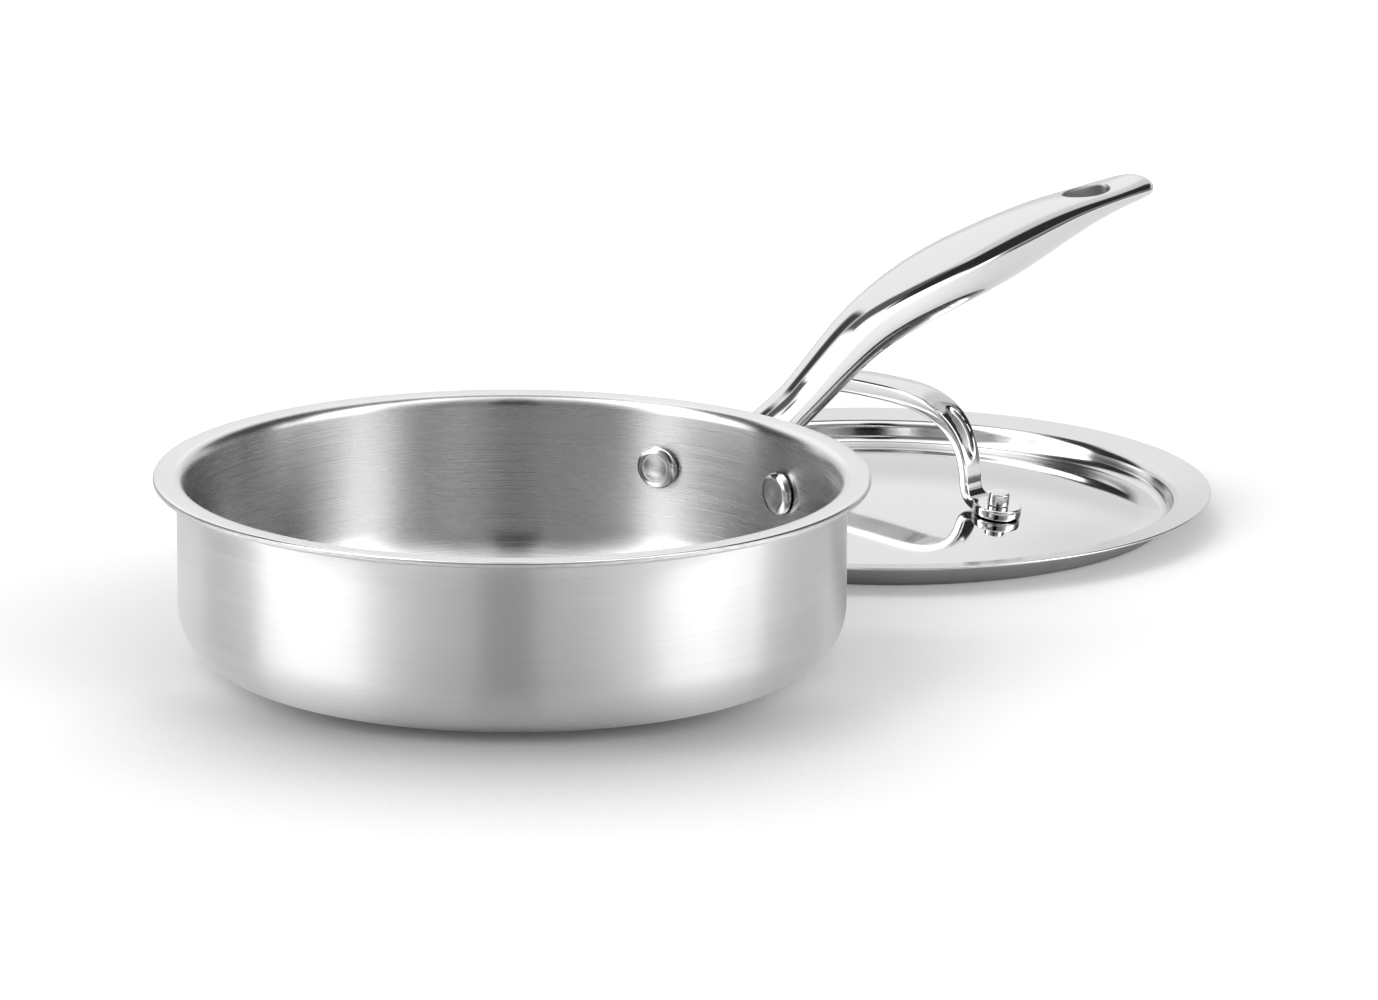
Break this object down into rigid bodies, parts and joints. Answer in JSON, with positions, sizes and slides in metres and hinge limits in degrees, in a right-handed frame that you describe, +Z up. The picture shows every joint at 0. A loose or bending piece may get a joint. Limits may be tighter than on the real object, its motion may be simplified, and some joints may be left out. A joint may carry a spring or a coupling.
{
  "type": "saute pan with lid",
  "caption": "Straight-sided saute pan of clad steel with a riveted arched handle, and a low domed lid with a strap handle lying beside it.",
  "frame": {"origin": "middle of the flat underside of the pan's base", "axes": "+Z up; +X out along the pan's handle; the lid lies beyond the wall under the handle"},
  "size_m": [0.4372, 0.2518, 0.1051],
  "materials": {
    "satin_steel": "satin, brushed around the wall",
    "core_aluminium": "plain sheet edge",
    "brushed_steel": "brushed around the wall and floor",
    "polished_steel": "mirror polished",
    "rivet_steel": "polished",
    "lid_steel": "bright, fine satin"
  },
  "bodies": {
    "pan": {"pan_outer_ply": "satin_steel", "pan_core_ply": "core_aluminium", "pan_inner_ply": "brushed_steel", "pan_handle": "polished_steel", "pan_rivet_left": "rivet_steel", "pan_rivet_right": "rivet_steel"},
    "lid": {"lid_cover": "lid_steel", "lid_handle": "polished_steel", "lid_rivet_front": "rivet_steel", "lid_rivet_rear": "rivet_steel"}
  },
  "joints": [
    {"name": "lid_draw_out", "type": "slide", "parent": "pan", "child": "lid", "axis": [0, 0.9063, 0.4226], "range_m": [0, 0.2]}
  ]
}
